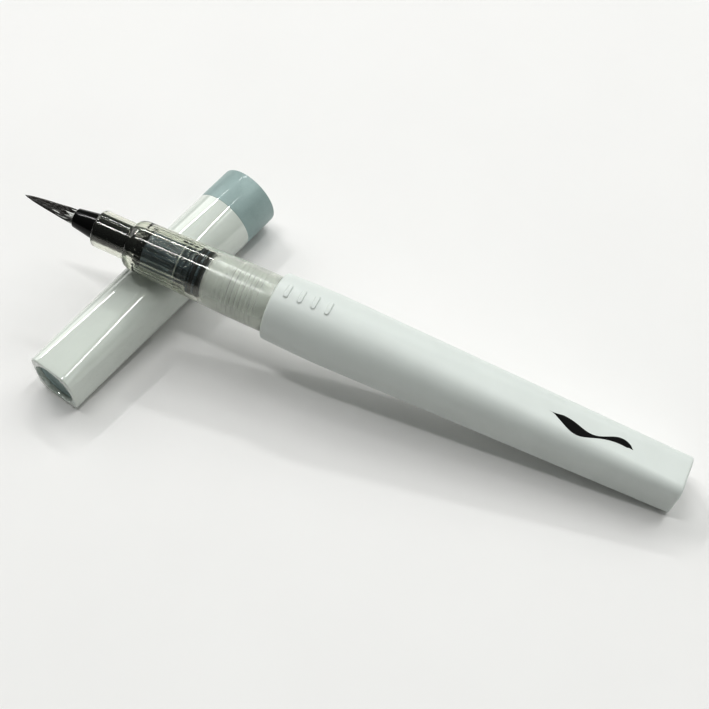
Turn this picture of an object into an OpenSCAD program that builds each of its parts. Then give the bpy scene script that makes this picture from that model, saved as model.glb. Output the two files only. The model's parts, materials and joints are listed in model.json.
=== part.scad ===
// Squeeze-barrel brush pen with its cap off: the pen leans across the cap, tail on the table.
// Pen pieces are drawn upright about Z, with z = 0 at the barrel's front rim and the tip up.
// Cap pieces are drawn upright about Z, with z = 0 at the closed end and the mouth up.

/* [Lying on the table] */
// Angle seen from above between the pen and the cap under it, degrees
cap_heading = 76.3; // [60:0.1:88]
// Crossing point on the pen, measured from the barrel's rim towards the tip
cross_on_pen = 28.6; // [24:0.1:29]
// Crossing point on the cap, measured from its closed end
cross_on_cap = 29.9; // [22:0.1:38]
// Height from the cap's top line to the pen's underside where they cross
cross_gap = 0.85; // [0.8:0.05:1.5]

/* [Barrel] */
// Length of the barrel from its rim to its tail
barrel_len = 85.4; // [70:0.1:105]
// Diameter of the barrel's rim, of the cap's band and of the cap's mouth end
rim_d = 14; // [13.8:0.1:17]
// How much wider in diameter the barrel's belly is than its rim
belly_rise = 0.5; // [0:0.1:1]
// Distance from the rim back to the belly
belly_at = 12.5; // [8:0.5:20]
// Width across the flats of the square tail
tail_w = 9.6; // [8:0.1:12]
// Corner radius of the square tail
tail_corner_r = 2.3; // [1:0.1:3.5]
// Rounding of the tail's end edge and of the rim's edge
barrel_edge_r = 0.5; // [0.2:0.1:1]
// Wall thickness of the soft barrel
barrel_wall = 0.9; // [0.6:0.1:1.4]
// Number of raised bars that show where to squeeze
squeeze_bars = 4; // [0:1:5]
// Distance between squeeze bars
squeeze_pitch = 2.9; // [2.2:0.1:3.2]
// Distance from the rim to the first squeeze bar
squeeze_from = 2.6; // [2:0.1:5]
// Length of a squeeze bar across the barrel
squeeze_len = 3.2; // [2:0.1:5]
// Width of a squeeze bar
squeeze_w = 1; // [0.6:0.1:1.5]
// Height of a squeeze bar above the barrel's wall
squeeze_rise = 0.25; // [0.1:0.05:0.5]

/* [Neck and thread] */
// How far the neck stands out of the barrel
neck_len = 14.5; // [13:0.1:16]
// Diameter of the neck under its thread
neck_d = 8.6; // [8.2:0.1:8.8]
// Diameter of the bore through the neck
neck_bore_d = 6.8; // [6:0.1:7]
// Thickness of the barrel's front wall, around the neck
barrel_front = 1.5; // [1:0.1:3]
// Lead of the thread for one turn
thread_pitch = 1; // [0.9:0.05:1.2]
// Number of turns of thread
thread_turns = 8; // [5:1:8]
// Where the neck's thread starts, measured from the rim
thread_from = 3.6; // [3.2:0.1:3.8]
// Height of the thread ridge on the neck
thread_depth = 0.42; // [0.3:0.02:0.46]
// Radial clearance between the neck's thread and the grip's bore
thread_gap = 0.18; // [0.12:0.02:0.25]

/* [Clear front section] */
// Diameter of the straight seat that takes the cap
seat_d = 11.8; // [11.6:0.1:12.4]
// Length of the straight seat
seat_len = 8; // [6:0.1:10]
// Diameter of the grip at its front end
grip_front_d = 10.6; // [10:0.1:11.6]
// Distance from the rim to the front end of the grip
grip_len = 29.6; // [28.5:0.1:31]
// Length of the rounded shoulder between grip and nose
shoulder_len = 2.4; // [1.5:0.1:3]
// Diameter of the nose
nose_d = 7.8; // [7.4:0.1:8.4]
// Length of the straight nose in front of the shoulder, with its rounded edge
nose_len = 7.6; // [5:0.1:10]
// Rounding of the nose's front edge
nose_edge_r = 0.8; // [0.4:0.1:0.9]
// Wall thickness of the nose
nose_wall = 0.9; // [0.8:0.05:1.1]
// Wall thickness at the grip's front end
grip_wall = 1.05; // [0.9:0.05:1.4]

/* [Ink feed] */
// Diameter of the round seal rings' section
seal_section_d = 0.84; // [0.6:0.02:0.9]
// Length of the collector's finned body
collector_len = 3.1; // [2.5:0.1:4]
// Diameter of the ink felt
felt_d = 7; // [5:0.1:7.6]
// Diameter of the porous wick
wick_d = 1.8; // [1.2:0.1:2]
// Diameter of the drip hole in the neck plug
drip_d = 1.2; // [0.6:0.1:1.6]

/* [Brush] */
// Diameter of the ferrule where it leaves the nose
ferrule_base_d = 5.6; // [4.8:0.1:5.8]
// Diameter of the ferrule at its mouth
ferrule_tip_d = 4; // [3.8:0.1:4.6]
// Length of the ferrule in front of the nose
ferrule_len = 5.1; // [3:0.1:7]
// Diameter of the hair tuft in the ferrule
tuft_d = 3.2; // [2.6:0.1:3.4]
// Length of hair in front of the ferrule
tuft_len = 11.9; // [8:0.1:14]

/* [Cap] */
// Length of the cap
cap_len = 60; // [60:0.1:70]
// Width across the flats of the cap's square closed end
cap_end_w = 10.8; // [10:0.1:12]
// Corner radius of the square closed end
cap_corner_r = 2.3; // [1:0.1:3]
// Rounding of the closed end's edge
cap_edge_r = 0.35; // [0.2:0.05:0.6]
// Length of the coloured band at the mouth
band_len = 8.6; // [6:0.1:9]
// Wall thickness of the band
band_wall = 0.5; // [0.4:0.05:0.55]
// Diameter of the end plug
plug_d = 9.6; // [8:0.1:10]
// Depth of the end plug's face below the closed end
plug_sunk = 1; // [0.4:0.1:1.2]
// Thickness of the end plug
plug_t = 1; // [0.8:0.1:1.4]
// Diameter of the breathing hole in the end plug
vent_d = 1.5; // [0.6:0.1:2]
// Wall thickness of the inner liner
liner_wall = 0.45; // [0.4:0.05:0.5]
// Clearance between the liner and the nose it seals on
liner_gap = 0.12; // [0.1:0.02:0.2]
// Clearance between the cap's mouth and the grip's seat
mouth_gap = 0.15; // [0.1:0.01:0.2]

/* [Hidden] */

round_fn = 96;
fine_fn = 48;
thread_fn = 16;
through = 1;          // how far cutting tools run past a face
skin = 0.01;          // thickness of the plates that a hull spans
press_gap = 0.02;     // radial room of a pushed-in piece
run_gap = 0.05;       // radial room of a piece that turns on another
loose_gap = 0.15;     // radial room of a piece that hangs free in a bore
face_gap = 0.1;       // room between faces of pieces that separate
break_edge = 0.3;     // chamfer of a hidden piece

// Barrel and neck
rim_r = rim_d / 2;
belly_steps = 5;
neck_r = neck_d / 2;
crest_r = neck_r + thread_depth;
front_bore_r = crest_r + thread_gap;
thread_sunk = 0.1;                   // how far a ridge reaches into the wall that carries it
neck_ridge = [0.78, 0.3];            // widths of the neck's ridge at root and crest, in pitches
bore_ridge = [0.52, 0.22];           // and of the ridge in the clear section's bore
bore_crest_r = neck_r + 0.2;

// Front section, from the rim forwards
seat_r = seat_d / 2;
grip_front_r = grip_front_d / 2;
nose_r = nose_d / 2;
nose_at = grip_len + shoulder_len;
nose_front = nose_at + nose_len;
nose_bore_r = nose_r - nose_wall;
grip_bore_r = grip_front_r - grip_wall;
seals_room = 2.7;                    // from the neck's end to the shell's step, for the seal rings
step_at = neck_len + seals_room;     // the shell's step, which stops the collector
nose_round = min(nose_edge_r, nose_wall - 0.05);

// Ink feed
seal_r = seal_section_d / 2;
rear_seal_z = neck_len + face_gap + seal_r;
front_seal_z = step_at - seal_r - 0.28;
seal_groove_gap = 0.03;
spigot_r = neck_bore_d / 2 - run_gap * 2;
spigot_len = 1.2;
groove_r = front_bore_r - press_gap - 2 * seal_r;
flange_r = front_bore_r - loose_gap;
fin_r = grip_bore_r - loose_gap;
fin_core_wall = 1.7;
fin_t = 0.45;
fin_slot_w = 0.5;
fins = 3;
fin_pitch = (collector_len - fin_t - 0.3) / (fins - 1);
collector_front = step_at + collector_len;
felt_from = collector_front + 2 * face_gap;
wick_r = wick_d / 2;
wick_room = 0.06;
wick_dip = 1.6;                      // how far the wick reaches back into the neck
wick_from = neck_len - wick_dip;
fin_core_r = wick_r + fin_core_wall;
drip_r = drip_d / 2;
plug_cup_r = wick_r + 0.7;
plug_len = 4.5;

// Brush
stem_r = nose_bore_r - press_gap;
stem_flange_r = grip_bore_r - 0.1;
stem_flange_t = 0.7;
stem_flange_at = grip_len - 2 * stem_flange_t;
ferrule_front = nose_front + ferrule_len;
ferrule_base_at = nose_front + face_gap;
tuft_r = tuft_d / 2;
tuft_grip = 3.6;                     // how far back from the nose's front the hair is held
tuft_from = nose_front - tuft_grip;
root_t = 1.2;
root_r = tuft_r + 0.45;
tip_at = ferrule_front + tuft_len;
tuft_steps = 12;

// Cap
cap_r = rim_r;
cap_end_half = cap_end_w / 2;
band_at = cap_len - band_len;
spigot_cap_r = cap_r - band_wall - press_gap;
mouth_r = seat_r + mouth_gap;
plug_r = plug_d / 2;
plug_back = plug_sunk + plug_t;
ledge_t = 0.6;
liner_from = plug_back + ledge_t + face_gap;
liner_floor = 0.5;
liner_mouth = cap_len - nose_at - face_gap * 4;
liner_seal_r = nose_r + liner_gap;
liner_r = liner_seal_r + liner_wall;
liner_step = 0.6;
liner_slim_r = max(liner_seal_r - liner_step, ferrule_base_d / 2 + liner_gap);
ledge_w = 0.87;
ledge_r = liner_slim_r + liner_wall - ledge_w;
liner_slim_to = liner_mouth - nose_len;
liner_step_len = 1;
liner_flange_t = 0.6;
liner_room_r = grip_front_r + mouth_gap;

// Where the two pieces lie
cap_tilt = atan((cap_r - cap_end_half) / band_at);
grip_taper = (seat_r - grip_front_r) / (grip_len - seat_len);
grip_at_cross = grip_front_r + grip_taper * (grip_len - cross_on_pen);
cap_top_at_cross = 2 * cap_end_half * cos(cap_tilt) + cross_on_cap * 2 * sin(cap_tilt);
axis_at_cross = cap_top_at_cross + grip_at_cross + cross_gap;
lean = asin((axis_at_cross - tail_w / 2) / (barrel_len + cross_on_pen));
tail_edge_drop = barrel_edge_r * (sin(lean) + cos(lean) - 1);
rim_height = tail_w / 2 * cos(lean) + barrel_len * sin(lean) - tail_edge_drop;
cap_end_x = -cross_on_pen * cos(lean) - cross_on_cap * cos(cap_tilt) * cos(cap_heading);
cap_end_y = -cross_on_cap * cos(cap_tilt) * sin(cap_heading);
// Middle of the footprint, which becomes the origin
tail_x = barrel_len * cos(lean) + (tail_w / 2 - barrel_edge_r) * sin(lean);
tip_x = -tip_at * cos(lean);
mouth_y = cap_end_y + cap_len * cos(cap_tilt) * sin(cap_heading)
  + cap_r * sqrt(1 - pow(cos(cap_tilt) * sin(cap_heading), 2));
closed_y = cap_end_y - (cap_end_half - cap_corner_r) * cos(cap_heading) - cap_corner_r * cos(cap_heading);
middle_x = (tail_x + tip_x) / 2;
middle_y = (mouth_y + closed_y) / 2;

// Lays an upright pen piece along its leaning axis
module on_pen() {
  translate([-middle_x, -middle_y, rim_height])
    rotate([0, lean - 90, 0])
      children();
}

// Lays an upright cap piece on the table under the pen
module on_cap() {
  translate([cap_end_x - middle_x, cap_end_y - middle_y, cap_end_half * cos(cap_tilt)])
    rotate([0, 0, cap_heading])
      rotate([0, 90 - cap_tilt, 0])
        children();
}

// Turned solid from an outline of [radius, height] points
module turned(outline, fn = round_fn) {
  rotate_extrude($fn = fn) polygon(outline);
}

// Points of a quarter round from straight up to straight out, about a centre
function quarter(centre_r, centre_z, r, steps = 5) =
  [for (i = [0:steps]) [centre_r + r * cos(90 * i / steps), centre_z + r * sin(90 * i / steps)]];

// Square plate with round corners
module round_square(width, corner_r, height) {
  reach = width / 2 - corner_r;
  linear_extrude(height) {
    square([width, 2 * reach], center = true);
    square([2 * reach, width], center = true);
    for (x = [-1, 1], y = [-1, 1])
      translate([x * reach, y * reach])
        circle(r = corner_r, $fn = fine_fn);
  }
}

// Radius of the barrel at a share of the way from its rim back to its belly
function belly_radius(share) = rim_r + belly_rise / 2 * sin(90 * min(1, share));

// One ring of thread section: [inner edge, crest, crest, inner edge]
function thread_section(i, last, from, base_r, top_r, widths) =
  let (turn = i / thread_fn,
       angle = 360 * turn,
       z = from + thread_pitch * turn,
       lead_in = min(1, min(i, last - i) / (thread_fn / 2)),
       tip_r = base_r + (top_r - base_r) * (0.3 + 0.7 * lead_in))
  [[base_r * cos(angle), base_r * sin(angle), z - widths[0] / 2],
   [tip_r * cos(angle), tip_r * sin(angle), z - widths[1] / 2],
   [tip_r * cos(angle), tip_r * sin(angle), z + widths[1] / 2],
   [base_r * cos(angle), base_r * sin(angle), z + widths[0] / 2]];

// Helical ridge, outward when top_r is the larger radius and inward when it is the smaller
module thread_ridge(from, turns, base_r, top_r, widths) {
  last = turns * thread_fn;
  points = [for (i = [0:last]) each thread_section(i, last, from, base_r, top_r, thread_pitch * widths)];
  sides = [for (i = [0:last - 1], k = [0:3])
    let (a = 4 * i + k, b = 4 * i + (k + 1) % 4)
    each [[a, a + 4, b], [b, a + 4, b + 4]]];
  ends = [[0, 1, 2], [0, 2, 3],
    [4 * last + 2, 4 * last + 1, 4 * last], [4 * last + 3, 4 * last + 2, 4 * last]];
  inward = concat(sides, ends);
  outward = [for (f = inward) [f[2], f[1], f[0]]];
  polyhedron(points = points, faces = top_r > base_r ? outward : inward, convexity = 10);
}

// Closed barrel form: round rim, round belly, square tail, taken in by a wall all round
module barrel_form(inset, front, back) {
  hull() {
    for (i = [0:belly_steps]) {
      share = i / belly_steps;
      z = -front - (belly_at - front) * share;
      round_in = i == 0 ? barrel_edge_r : 0;
      translate([0, 0, z - skin])
        cylinder(r = belly_radius(share) - inset - round_in, h = skin, $fn = round_fn);
    }
    translate([0, 0, -front - barrel_edge_r - skin])
      cylinder(r = rim_r - inset, h = skin, $fn = round_fn);
    for (i = [0:2]) {
      drop = barrel_edge_r * (1 - cos(45 * i));
      ahead = barrel_edge_r * (1 - sin(45 * i));
      translate([0, 0, -back + ahead])
        round_square(tail_w - 2 * inset - 2 * drop, tail_corner_r - inset / 2, skin);
    }
  }
}

// Raised bar across the top of the barrel, with its top following the barrel's round
module squeeze_bar(z) {
  half = squeeze_len / 2 - squeeze_w / 2;
  intersection() {
    translate([rim_r - barrel_wall / 2, 0, z])
      rotate([0, 90, 0])
        linear_extrude(3)
          union() {
            square([squeeze_w, 2 * half], center = true);
            for (y = [-half, half]) translate([0, y]) circle(d = squeeze_w, $fn = fine_fn);
          }
    translate([0, 0, z - squeeze_w])
      cylinder(r = belly_radius(-z / belly_at) + squeeze_rise, h = 2 * squeeze_w, $fn = round_fn);
  }
}

module barrel() {
  color("whitesmoke") on_pen() difference() {
    union() {
      barrel_form(0, 0, barrel_len);
      for (i = [0:1:squeeze_bars - 1]) squeeze_bar(-squeeze_from - i * squeeze_pitch);
      translate([0, 0, -barrel_front / 2]) cylinder(r = neck_r, h = neck_len + barrel_front / 2, $fn = round_fn);
      thread_ridge(thread_from, thread_turns, neck_r - thread_sunk, crest_r, neck_ridge);
    }
    barrel_form(barrel_wall, barrel_front, barrel_len - barrel_wall);
    translate([0, 0, -barrel_front - through])
      cylinder(d = neck_bore_d, h = barrel_front + neck_len + 2 * through, $fn = round_fn);
  }
}

module neck_plug() {
  outer = neck_bore_d / 2 - press_gap;
  back = neck_len - spigot_len - face_gap * 2;
  plug_from = back - plug_len;
  cup_floor = wick_from - 0.4;
  color("gainsboro") on_pen()
    turned([[drip_r, plug_from], [outer - break_edge, plug_from], [outer, plug_from + break_edge], [outer, back],
      [plug_cup_r, back], [plug_cup_r, cup_floor], [drip_r, cup_floor]]);
}

module front_shell() {
  rear = face_gap;
  outside = concat(
    [[seat_r - 0.15, rear], [seat_r, rear + 0.15], [seat_r, seat_len], [grip_front_r, grip_len]],
    [for (i = [1:5]) [nose_r + (grip_front_r - nose_r) * cos(18 * i), grip_len + shoulder_len * sin(18 * i)]],
    quarter(nose_r - nose_round, nose_front - nose_round, nose_round));
  inside = [[nose_bore_r, nose_front], [nose_bore_r, nose_at - 0.6], [grip_bore_r, grip_len - 0.6],
    [grip_bore_r, step_at], [front_bore_r, step_at], [front_bore_r, rear]];
  color([0.9, 0.92, 0.88, 0.4]) on_pen() union() {
    turned(concat(outside, inside));
    thread_ridge(thread_from - 1.5 * thread_pitch, thread_turns, front_bore_r + thread_sunk, bore_crest_r, bore_ridge);
  }
}

module seal_ring(z) {
  color([0.08, 0.08, 0.1]) on_pen()
    rotate_extrude($fn = round_fn)
      translate([groove_r + seal_r, z])
        circle(r = seal_r, $fn = fine_fn);
}

module front_seal_ring() {
  seal_ring(front_seal_z);
}

module rear_seal_ring() {
  seal_ring(rear_seal_z);
}

module ink_collector() {
  bore = wick_r + wick_room;
  land = groove_r - run_gap;
  flange_back = rear_seal_z + seal_r + face_gap / 2;
  half_groove = seal_r + seal_groove_gap;
  color([0.05, 0.06, 0.12]) on_pen() union() {
    turned([[bore, neck_len - spigot_len], [spigot_r, neck_len - spigot_len], [spigot_r, neck_len + face_gap],
      [land, neck_len + face_gap], [land, flange_back], [flange_r, flange_back],
      [flange_r, front_seal_z - half_groove], [land, front_seal_z - half_groove],
      [land, front_seal_z + half_groove], [flange_r, front_seal_z + half_groove],
      [flange_r, step_at - face_gap / 2], [fin_core_r, step_at - face_gap / 2],
      [fin_core_r, collector_front], [bore, collector_front]]);
    for (i = [0:fins - 1])
      translate([0, 0, collector_front - fin_t - i * fin_pitch])
        difference() {
          cylinder(r = fin_r, h = fin_t, $fn = round_fn);
          translate([0, 0, -through]) cylinder(r = fin_core_r - 0.2, h = fin_t + 2 * through, $fn = round_fn);
          translate([fin_core_r, -fin_slot_w / 2, -through]) cube([fin_r, fin_slot_w, fin_t + 2 * through]);
        }
  }
}

module ink_felt() {
  front = stem_flange_at - 2 * face_gap;
  felt_r = felt_d / 2;
  bore = wick_r + wick_room;
  color([0.04, 0.05, 0.12]) on_pen()
    turned([[bore, felt_from], [felt_r - break_edge, felt_from], [felt_r, felt_from + break_edge],
      [felt_r, front - break_edge], [felt_r - break_edge, front], [bore, front]]);
}

module wick() {
  front = tuft_from - root_t - face_gap;
  color([0.2, 0.2, 0.25]) on_pen()
    turned([[0, wick_from], [wick_r - break_edge, wick_from], [wick_r, wick_from + break_edge],
      [wick_r, front - break_edge], [wick_r - break_edge, front], [0, front]], fine_fn);
}

module brush_ferrule() {
  stem_bore = root_r + press_gap;
  base_r = ferrule_base_d / 2;
  tip_r = ferrule_tip_d / 2;
  bore = tuft_r + press_gap;
  lip = min(0.35, tip_r - bore);
  base = base_r > stem_r ? [[stem_r, ferrule_base_at], [base_r, ferrule_base_at]] : [[base_r, ferrule_base_at]];
  color([0.03, 0.03, 0.03]) on_pen()
    turned(concat(
      [[stem_bore, stem_flange_at], [stem_flange_r, stem_flange_at],
        [stem_flange_r, stem_flange_at + stem_flange_t], [stem_r, stem_flange_at + stem_flange_t],
        [stem_r, nose_front - nose_round]],
      base,
      [for (i = [0:4]) [tip_r - lip + lip * cos(22.5 * i), ferrule_front - lip + lip * sin(22.5 * i)]],
      [[bore, ferrule_front], [bore, tuft_from], [stem_bore, tuft_from]]));
}

module tuft_root() {
  color([0.1, 0.07, 0.05]) on_pen()
    turned([[0, tuft_from - root_t], [root_r - break_edge, tuft_from - root_t],
      [root_r, tuft_from - root_t + break_edge], [root_r, tuft_from - press_gap], [0, tuft_from - press_gap]], fine_fn);
}

// Hair outline: straight in the ferrule, a slight belly, then a fine point
function tuft_radius(share) = tuft_r * (1 + 0.06 * sin(180 * min(1, share * 3))) * pow(1 - share, 0.72);

module brush_tuft() {
  color([0.12, 0.08, 0.07]) on_pen()
    turned(concat(
      [[0, tuft_from], [tuft_r, tuft_from], [tuft_r, ferrule_front]],
      [for (i = [1:tuft_steps]) [tuft_radius(i / tuft_steps), ferrule_front + tuft_len * i / tuft_steps]]), fine_fn);
}

// Outside of the sleeve: square closed end lofted to the round where the band starts
module sleeve_form() {
  hull() {
    for (i = [0:2]) {
      drop = cap_edge_r * (1 - cos(45 * i));
      translate([0, 0, cap_edge_r * (1 - sin(45 * i))])
        round_square(cap_end_w - 2 * drop, cap_corner_r, skin);
    }
    translate([0, 0, band_at - skin]) cylinder(r = cap_r, h = skin, $fn = round_fn);
  }
}

module cap_sleeve() {
  color("white") on_cap() difference() {
    union() {
      sleeve_form();
      translate([0, 0, band_at - 2]) cylinder(r = spigot_cap_r, h = band_len + 2 - face_gap, $fn = round_fn);
    }
    translate([0, 0, -through]) cylinder(r = plug_r + press_gap, h = plug_back + through, $fn = round_fn);
    translate([0, 0, plug_back - through / 2]) cylinder(r = ledge_r, h = ledge_t + through, $fn = round_fn);
    translate([0, 0, liner_from - face_gap])
      cylinder(r = liner_slim_r + liner_wall + press_gap, h = liner_slim_to - liner_from, $fn = round_fn);
    translate([0, 0, liner_slim_to - liner_step_len - face_gap])
      cylinder(r = liner_r + press_gap, h = nose_len + liner_step_len, $fn = round_fn);
    turned([[0, liner_mouth - liner_flange_t - press_gap], [liner_room_r, liner_mouth - liner_flange_t - press_gap],
      [mouth_r, band_at], [mouth_r, cap_len + through], [0, cap_len + through]]);
  }
}

module cap_band() {
  chamfer = 0.15;
  inner = cap_r - band_wall;
  color([0.52, 0.58, 0.62]) on_cap()
    turned([[inner, band_at + press_gap], [cap_r, band_at + press_gap], [cap_r, cap_len - chamfer],
      [cap_r - chamfer, cap_len], [inner, cap_len]]);
}

module cap_liner() {
  flange_r = liner_room_r - press_gap * 2;
  slim_outer_r = liner_slim_r + liner_wall;
  color("white") on_cap()
    turned([[0, liner_from], [slim_outer_r - break_edge, liner_from], [slim_outer_r, liner_from + break_edge],
      [slim_outer_r, liner_slim_to - liner_step_len], [liner_r, liner_slim_to - liner_step_len / 2],
      [liner_r, liner_mouth - liner_flange_t], [flange_r, liner_mouth - liner_flange_t],
      [flange_r, liner_mouth], [liner_seal_r, liner_mouth], [liner_seal_r, liner_slim_to],
      [liner_slim_r, liner_slim_to - liner_step_len / 2], [liner_slim_r, liner_from + liner_floor],
      [0, liner_from + liner_floor]]);
}

module cap_end_plug() {
  vent_r = vent_d / 2;
  dish = 0.25;
  rim_w = 0.5;
  color([0.5, 0.56, 0.6]) on_cap()
    turned([[vent_r, plug_sunk + dish], [plug_r - rim_w - dish, plug_sunk + dish], [plug_r - rim_w, plug_sunk],
      [plug_r, plug_sunk], [plug_r, plug_back - press_gap], [vent_r, plug_back - press_gap]]);
}

brush_tuft();
tuft_root();
brush_ferrule();
wick();
ink_felt();
ink_collector();
front_shell();
front_seal_ring();
rear_seal_ring();
barrel();
neck_plug();
cap_sleeve();
cap_band();
cap_liner();
cap_end_plug();
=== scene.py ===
import json
import random
from math import atan2, ceil, cos, hypot, pi, radians, sin, sqrt, tan
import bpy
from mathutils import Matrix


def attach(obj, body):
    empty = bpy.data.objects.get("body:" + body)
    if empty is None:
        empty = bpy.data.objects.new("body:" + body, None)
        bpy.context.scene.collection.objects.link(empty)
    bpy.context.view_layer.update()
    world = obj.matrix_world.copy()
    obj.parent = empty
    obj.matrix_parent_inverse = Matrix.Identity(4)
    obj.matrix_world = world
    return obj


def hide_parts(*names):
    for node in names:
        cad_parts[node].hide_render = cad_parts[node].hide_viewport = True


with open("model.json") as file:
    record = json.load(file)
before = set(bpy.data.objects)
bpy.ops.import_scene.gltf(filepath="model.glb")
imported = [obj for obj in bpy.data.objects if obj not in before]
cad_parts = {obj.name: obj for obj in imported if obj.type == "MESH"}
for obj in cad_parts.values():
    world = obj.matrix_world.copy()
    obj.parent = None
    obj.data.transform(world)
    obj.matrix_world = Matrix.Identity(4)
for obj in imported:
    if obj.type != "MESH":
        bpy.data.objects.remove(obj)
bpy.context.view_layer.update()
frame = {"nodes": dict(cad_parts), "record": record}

from types import SimpleNamespace

import bpy
from bpy.props import FloatProperty, FloatVectorProperty, IntProperty, PointerProperty
from mathutils import Matrix, Vector

bl_info = {
    "name": "Calligraphy marker",
    "version": (1, 0, 0),
    "blender": (4, 5, 0),
    "location": "3D View > Sidebar > Marker",
    "description": "Moulds, fits and finishes a squeeze-barrel brush marker lying across its cap",
    "category": "Add Mesh",
}

MOUNTS = {mount["name"]: mount for mount in frame["record"]["mounts"]}
MM = 0.001
FILM = 0.02                 # room between two pieces that touch
FILLET = pi / 12            # turn between two points of a rounded edge
SQUEEZE_BARS = 4
THREAD_TURNS = 8
NECK_RIDGE = (0.78, 0.3)    # widths of the neck's ridge at its root and crest, in pitches
BORE_RIDGE = (0.52, 0.22)   # and of the ridge in the clear front's bore
SEALS_ROOM = 2.7            # from the neck's end to the step that stops the collector
FLUTES = 18                 # round the felt and the collector
BORE_RIBS = 24              # round the bore of the clear grip
HAIR_GRIP = 3.6             # how far the hair reaches back from the nose's front
HAIR_CLUMPS = 19


# Sizes and colours ------------------------------------------------------------------------

def length(name, millimetres, description):
    """A size that the sidebar shows in the scene's length unit."""
    return FloatProperty(name=name, description=description, default=millimetres * MM,
                         min=0, precision=5, unit="LENGTH")


def colour(name, value, description):
    """A colour swatch."""
    return FloatVectorProperty(name=name, description=description, default=value,
                               size=3, min=0, max=1, subtype="COLOR")


def turning(name, degrees, description):
    """An angle that the sidebar shows in degrees."""
    return FloatProperty(name=name, description=description, default=radians(degrees), unit="ROTATION")


def wattage(name, watts, description):
    """A light's power."""
    return FloatProperty(name=name, description=description, default=watts, min=0, unit="POWER")


class PenSizes(bpy.types.PropertyGroup):
    """Sizes of the pen, measured from the barrel's front rim."""
    barrel_length: length("Barrel length", 85.4, "From the rim to the tail")
    rim_diameter: length("Rim", 14, "Diameter of the barrel's front rim")
    belly_rise: length("Belly rise", 0.5, "How much wider the belly is than the rim")
    belly_back: length("Belly back", 12.5, "Distance from the rim to the belly")
    tail_width: length("Tail width", 9.6, "Width across the flats of the square tail")
    tail_corner: length("Tail corner", 2.3, "Corner radius of the square tail")
    barrel_edge: length("Barrel edge", 0.5, "Rounding of the rim and of the tail")
    barrel_wall: length("Barrel wall", 0.9, "Thickness of the soft wall")
    front_wall: length("Front wall", 1.5, "Thickness of the wall round the neck")
    bar_first: length("First bar", 2.6, "From the rim to the first squeeze bar")
    bar_pitch: length("Bar pitch", 2.9, "Distance between squeeze bars")
    bar_length: length("Bar length", 3.2, "Length of a squeeze bar across the barrel")
    bar_width: length("Bar width", 1, "Width of a squeeze bar")
    bar_rise: length("Bar rise", 0.25, "Height of a squeeze bar")
    neck_length: length("Neck length", 14.5, "How far the neck stands out of the rim")
    neck_diameter: length("Neck", 8.6, "Diameter of the neck under its thread")
    neck_bore: length("Neck bore", 6.8, "Diameter of the bore through the neck")
    thread_pitch: length("Thread pitch", 1, "Lead of the thread")
    thread_start: length("Thread start", 3.6, "Where the neck's thread starts")
    thread_depth: length("Thread depth", 0.3, "Height of the neck's thread")
    seat_diameter: length("Seat", 11.8, "Diameter of the clear seat that takes the cap")
    seat_length: length("Seat length", 8, "Length of the straight seat")
    grip_diameter: length("Grip front", 10.6, "Diameter of the clear grip at its front")
    grip_length: length("Grip length", 29.6, "From the rim to the shoulder")
    shoulder_length: length("Shoulder", 2.4, "Length of the round shoulder")
    nose_diameter: length("Nose", 7.8, "Diameter of the clear nose")
    nose_length: length("Nose length", 7.6, "From the shoulder to the nose's front")
    nose_edge: length("Nose edge", 0.8, "Rounding of the nose's front edge")
    thread_bore: length("Thread bore", 9.8, "Bore that turns on the neck")
    core_bore: length("Core bore", 8.5, "Bore round the ink felt")
    nose_bore: length("Nose bore", 6, "Bore that holds the ferrule's stem")
    felt_diameter: length("Felt", 7, "Diameter of the ink felt")
    felt_start: length("Felt start", 20.5, "Where the ink felt starts")
    felt_end: length("Felt end", 28, "Where the ink felt ends")
    ferrule_base: length("Ferrule base", 5.6, "Diameter where the ferrule leaves the nose")
    ferrule_mouth: length("Ferrule mouth", 4, "Diameter of the ferrule's mouth")
    ferrule_length: length("Ferrule length", 5.1, "Length in front of the nose")
    tuft_diameter: length("Tuft", 3.2, "Diameter of the hair in the ferrule")
    tuft_length: length("Tuft length", 11.9, "Length of hair in front of the ferrule")


class CapSizes(bpy.types.PropertyGroup):
    """Sizes of the cap, measured from its closed end."""
    cap_length: length("Cap length", 60, "From the closed end to the mouth")
    band_length: length("Band length", 8.6, "Length of the coloured band")
    band_wall: length("Band wall", 0.5, "Thickness of the coloured band")
    mouth_diameter: length("Mouth", 14, "Outside diameter of the band")
    end_width: length("End width", 10.8, "Width across the flats of the closed end")
    end_corner: length("End corner", 2.3, "Corner radius of the closed end")
    end_edge: length("End edge", 0.35, "Rounding of the closed end's edge")
    plug_diameter: length("Plug", 9.6, "Diameter of the end plug")
    plug_depth: length("Plug depth", 1, "How deep the end plug's face lies")
    plug_thickness: length("Plug thickness", 1, "Thickness of the end plug")
    vent_diameter: length("Vent", 1.5, "Diameter of the breathing hole")
    cavity_start: length("Cavity start", 26.98, "Where the wide cavity starts")


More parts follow.
